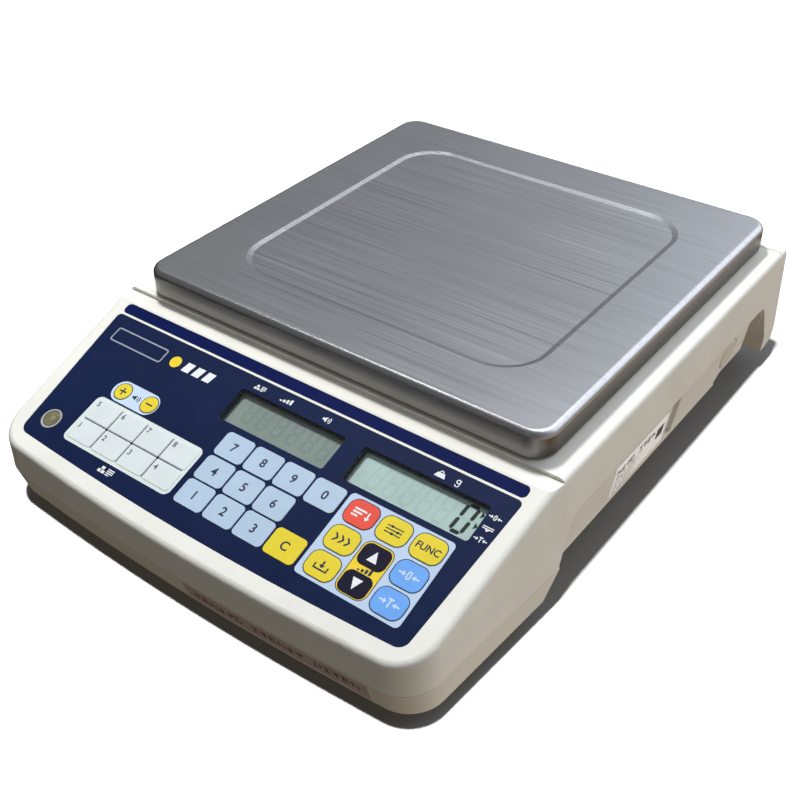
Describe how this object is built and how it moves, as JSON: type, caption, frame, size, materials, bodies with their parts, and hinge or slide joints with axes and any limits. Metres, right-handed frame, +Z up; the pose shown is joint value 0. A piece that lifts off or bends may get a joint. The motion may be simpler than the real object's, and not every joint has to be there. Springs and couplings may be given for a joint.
{
  "type": "counting scale",
  "caption": "Electronic bench scale with a removable steel weighing pan, a sloping keypad console with two displays, and levelling feet under a moulded two-part housing.",
  "frame": {"origin": "on the ground under the middle of the housing's outline, where the feet stand", "axes": "+X to the user's right, +Y from the keypad console to the rear, +Z up"},
  "size_m": [0.277, 0.3564, 0.09],
  "materials": {
    "cover_plastic": "fine-textured moulded ABS",
    "base_plastic": "fine-textured moulded ABS",
    "pan_steel": "long-grain brushed stainless sheet",
    "cast_aluminium": "as cast",
    "cell_aluminium": "machined, clear anodised",
    "fastener_steel": "zinc plated",
    "rubber_black": "matt",
    "plug_cream": "satin",
    "label_paper": "printed vinyl",
    "overlay_navy": "printed polyester, fine matt coat",
    "switch_film": "clear film with printed tracks",
    "key_blue": "printed polyester",
    "key_white": "printed polyester",
    "key_yellow": "printed polyester",
    "key_red": "printed polyester",
    "key_azure": "printed polyester",
    "key_black": "printed polyester",
    "lcd_glass": "polarised liquid crystal display",
    "clear_window": "clear acrylic",
    "vial_green": "green fluid under a clear dome",
    "board_green": "solder-masked laminate",
    "black_plastic": "satin",
    "cable_grey": "PVC jacket"
  },
  "bodies": {
    "key_clear_cap": {"key_clear": "key_yellow"},
    "key_digit_0_cap": {"key_digit_0": "key_blue"},
    "key_digit_1_cap": {"key_digit_1": "key_blue"},
    "key_digit_2_cap": {"key_digit_2": "key_blue"},
    "key_digit_3_cap": {"key_digit_3": "key_blue"},
    "key_digit_4_cap": {"key_digit_4": "key_blue"},
    "key_digit_5_cap": {"key_digit_5": "key_blue"},
    "key_digit_6_cap": {"key_digit_6": "key_blue"},
    "key_digit_7_cap": {"key_digit_7": "key_blue"},
    "key_digit_8_cap": {"key_digit_8": "key_blue"},
    "key_digit_9_cap": {"key_digit_9": "key_blue"},
    "key_easy_cap": {"key_easy": "key_yellow"},
    "key_function_cap": {"key_function": "key_yellow"},
    "key_preset_1_cap": {"key_preset_1": "key_white"},
    "key_preset_2_cap": {"key_preset_2": "key_white"},
    "key_preset_3_cap": {"key_preset_3": "key_white"},
    "key_preset_4_cap": {"key_preset_4": "key_white"},
    "key_preset_5_cap": {"key_preset_5": "key_white"},
    "key_preset_6_cap": {"key_preset_6": "key_white"},
    "key_preset_7_cap": {"key_preset_7": "key_white"},
    "key_preset_8_cap": {"key_preset_8": "key_white"},
    "key_rank_down_cap": {"key_rank_down": "key_black"},
    "key_rank_up_cap": {"key_rank_up": "key_black"},
    "key_setup_cap": {"key_setup": "key_yellow"},
    "key_sort_cap": {"key_sort": "key_red"},
    "key_store_cap": {"key_store": "key_yellow"},
    "key_tare_cap": {"key_tare": "key_azure"},
    "key_volume_down_cap": {"key_volume_down": "key_yellow"},
    "key_volume_up_cap": {"key_volume_up": "key_yellow"},
    "key_zero_cap": {"key_zero": "key_azure"},
    "foot_front_left_body": {"foot_front_left": "rubber_black"},
    "foot_front_right_body": {"foot_front_right": "rubber_black"},
    "foot_rear_left_body": {"foot_rear_left": "rubber_black"},
    "foot_rear_right_body": {"foot_rear_right": "rubber_black"},
    "pan": {"weighing_pan": "pan_steel"},
    "live_deck": {"pan_carrier": "cast_aluminium", "pan_cushions": "rubber_black", "carrier_bolts": "fastener_steel", "load_cell_post": "cast_aluminium"},
    "rocker": {"power_rocker": "black_plastic"},
    "housing": {"bottom_base": "base_plastic", "dc_jack": "black_plastic", "display_board": "board_green", "display_windows": "clear_window", "housing_screws": "fastener_steel", "keypad_overlay": "overlay_navy", "keypad_switch_layer": "switch_film", "labels": "label_paper", "large_lcd": "lcd_glass", "level_gauge": "vial_green", "load_cell": "cell_aluminium", "load_cell_bolts": "fastener_steel", "load_cell_cable": "cable_grey", "load_cell_mount": "cast_aluminium", "main_board": "board_green", "power_switch_frame": "black_plastic", "side_plug": "plug_cream", "small_lcd": "lcd_glass", "speaker": "black_plastic", "top_cover": "cover_plastic"}
  },
  "joints": [
    {"name": "weighing_deck_load", "type": "slide", "parent": "housing", "child": "live_deck", "axis": [0, 0, -1], "range_m": [0, 0.0004], "stiffness_N_per_m": 150000, "springref_m": -0.0001, "deforming": ["load_cell"]},
    {"name": "pan_lift_off", "type": "slide", "parent": "live_deck", "child": "pan", "axis": [0, 0, 1], "range_m": [0, 0.05]},
    {"name": "foot_front_left_level", "type": "slide", "parent": "housing", "child": "foot_front_left_body", "axis": [0, 0, -1], "range_m": [-0.0025, 0.005]},
    {"name": "foot_front_right_level", "type": "slide", "parent": "housing", "child": "foot_front_right_body", "axis": [0, 0, -1], "range_m": [-0.0025, 0.005]},
    {"name": "foot_rear_left_level", "type": "slide", "parent": "housing", "child": "foot_rear_left_body", "axis": [0, 0, -1], "range_m": [-0.0025, 0.005]},
    {"name": "foot_rear_right_level", "type": "slide", "parent": "housing", "child": "foot_rear_right_body", "axis": [0, 0, -1], "range_m": [-0.0025, 0.005]},
    {"name": "power_rocker_tilt", "type": "hinge", "parent": "housing", "child": "rocker", "pos_m": [-0.106, 0.17195, 0.0405], "axis": [-1, 0, 0], "range_deg": [0, 16]},
    {"name": "key_clear_press", "type": "slide", "parent": "housing", "child": "key_clear_cap", "axis": [0, 0.3173, -0.9483], "range_m": [0, 0.0004], "stiffness_N_per_m": 1500},
    {"name": "key_digit_0_press", "type": "slide", "parent": "housing", "child": "key_digit_0_cap", "axis": [0, 0.3173, -0.9483], "range_m": [0, 0.0004], "stiffness_N_per_m": 1500},
    {"name": "key_digit_1_press", "type": "slide", "parent": "housing", "child": "key_digit_1_cap", "axis": [0, 0.3173, -0.9483], "range_m": [0, 0.0004], "stiffness_N_per_m": 1500},
    {"name": "key_digit_2_press", "type": "slide", "parent": "housing", "child": "key_digit_2_cap", "axis": [0, 0.3173, -0.9483], "range_m": [0, 0.0004], "stiffness_N_per_m": 1500},
    {"name": "key_digit_3_press", "type": "slide", "parent": "housing", "child": "key_digit_3_cap", "axis": [0, 0.3173, -0.9483], "range_m": [0, 0.0004], "stiffness_N_per_m": 1500},
    {"name": "key_digit_4_press", "type": "slide", "parent": "housing", "child": "key_digit_4_cap", "axis": [0, 0.3173, -0.9483], "range_m": [0, 0.0004], "stiffness_N_per_m": 1500},
    {"name": "key_digit_5_press", "type": "slide", "parent": "housing", "child": "key_digit_5_cap", "axis": [0, 0.3173, -0.9483], "range_m": [0, 0.0004], "stiffness_N_per_m": 1500},
    {"name": "key_digit_6_press", "type": "slide", "parent": "housing", "child": "key_digit_6_cap", "axis": [0, 0.3173, -0.9483], "range_m": [0, 0.0004], "stiffness_N_per_m": 1500},
    {"name": "key_digit_7_press", "type": "slide", "parent": "housing", "child": "key_digit_7_cap", "axis": [0, 0.3173, -0.9483], "range_m": [0, 0.0004], "stiffness_N_per_m": 1500},
    {"name": "key_digit_8_press", "type": "slide", "parent": "housing", "child": "key_digit_8_cap", "axis": [0, 0.3173, -0.9483], "range_m": [0, 0.0004], "stiffness_N_per_m": 1500},
    {"name": "key_digit_9_press", "type": "slide", "parent": "housing", "child": "key_digit_9_cap", "axis": [0, 0.3173, -0.9483], "range_m": [0, 0.0004], "stiffness_N_per_m": 1500},
    {"name": "key_easy_press", "type": "slide", "parent": "housing", "child": "key_easy_cap", "axis": [0, 0.3173, -0.9483], "range_m": [0, 0.0004], "stiffness_N_per_m": 1500},
    {"name": "key_function_press", "type": "slide", "parent": "housing", "child": "key_function_cap", "axis": [0, 0.3173, -0.9483], "range_m": [0, 0.0004], "stiffness_N_per_m": 1500},
    {"name": "key_preset_1_press", "type": "slide", "parent": "housing", "child": "key_preset_1_cap", "axis": [0, 0.3173, -0.9483], "range_m": [0, 0.0004], "stiffness_N_per_m": 1500},
    {"name": "key_preset_2_press", "type": "slide", "parent": "housing", "child": "key_preset_2_cap", "axis": [0, 0.3173, -0.9483], "range_m": [0, 0.0004], "stiffness_N_per_m": 1500},
    {"name": "key_preset_3_press", "type": "slide", "parent": "housing", "child": "key_preset_3_cap", "axis": [0, 0.3173, -0.9483], "range_m": [0, 0.0004], "stiffness_N_per_m": 1500},
    {"name": "key_preset_4_press", "type": "slide", "parent": "housing", "child": "key_preset_4_cap", "axis": [0, 0.3173, -0.9483], "range_m": [0, 0.0004], "stiffness_N_per_m": 1500},
    {"name": "key_preset_5_press", "type": "slide", "parent": "housing", "child": "key_preset_5_cap", "axis": [0, 0.3173, -0.9483], "range_m": [0, 0.0004], "stiffness_N_per_m": 1500},
    {"name": "key_preset_6_press", "type": "slide", "parent": "housing", "child": "key_preset_6_cap", "axis": [0, 0.3173, -0.9483], "range_m": [0, 0.0004], "stiffness_N_per_m": 1500},
    {"name": "key_preset_7_press", "type": "slide", "parent": "housing", "child": "key_preset_7_cap", "axis": [0, 0.3173, -0.9483], "range_m": [0, 0.0004], "stiffness_N_per_m": 1500},
    {"name": "key_preset_8_press", "type": "slide", "parent": "housing", "child": "key_preset_8_cap", "axis": [0, 0.3173, -0.9483], "range_m": [0, 0.0004], "stiffness_N_per_m": 1500},
    {"name": "key_rank_down_press", "type": "slide", "parent": "housing", "child": "key_rank_down_cap", "axis": [0, 0.3173, -0.9483], "range_m": [0, 0.0004], "stiffness_N_per_m": 1500},
    {"name": "key_rank_up_press", "type": "slide", "parent": "housing", "child": "key_rank_up_cap", "axis": [0, 0.3173, -0.9483], "range_m": [0, 0.0004], "stiffness_N_per_m": 1500},
    {"name": "key_setup_press", "type": "slide", "parent": "housing", "child": "key_setup_cap", "axis": [0, 0.3173, -0.9483], "range_m": [0, 0.0004], "stiffness_N_per_m": 1500},
    {"name": "key_sort_press", "type": "slide", "parent": "housing", "child": "key_sort_cap", "axis": [0, 0.3173, -0.9483], "range_m": [0, 0.0004], "stiffness_N_per_m": 1500},
    {"name": "key_store_press", "type": "slide", "parent": "housing", "child": "key_store_cap", "axis": [0, 0.3173, -0.9483], "range_m": [0, 0.0004], "stiffness_N_per_m": 1500},
    {"name": "key_tare_press", "type": "slide", "parent": "housing", "child": "key_tare_cap", "axis": [0, 0.3173, -0.9483], "range_m": [0, 0.0004], "stiffness_N_per_m": 1500},
    {"name": "key_volume_down_press", "type": "slide", "parent": "housing", "child": "key_volume_down_cap", "axis": [0, 0.3173, -0.9483], "range_m": [0, 0.0004], "stiffness_N_per_m": 1500},
    {"name": "key_volume_up_press", "type": "slide", "parent": "housing", "child": "key_volume_up_cap", "axis": [0, 0.3173, -0.9483], "range_m": [0, 0.0004], "stiffness_N_per_m": 1500},
    {"name": "key_zero_press", "type": "slide", "parent": "housing", "child": "key_zero_cap", "axis": [0, 0.3173, -0.9483], "range_m": [0, 0.0004], "stiffness_N_per_m": 1500}
  ]
}
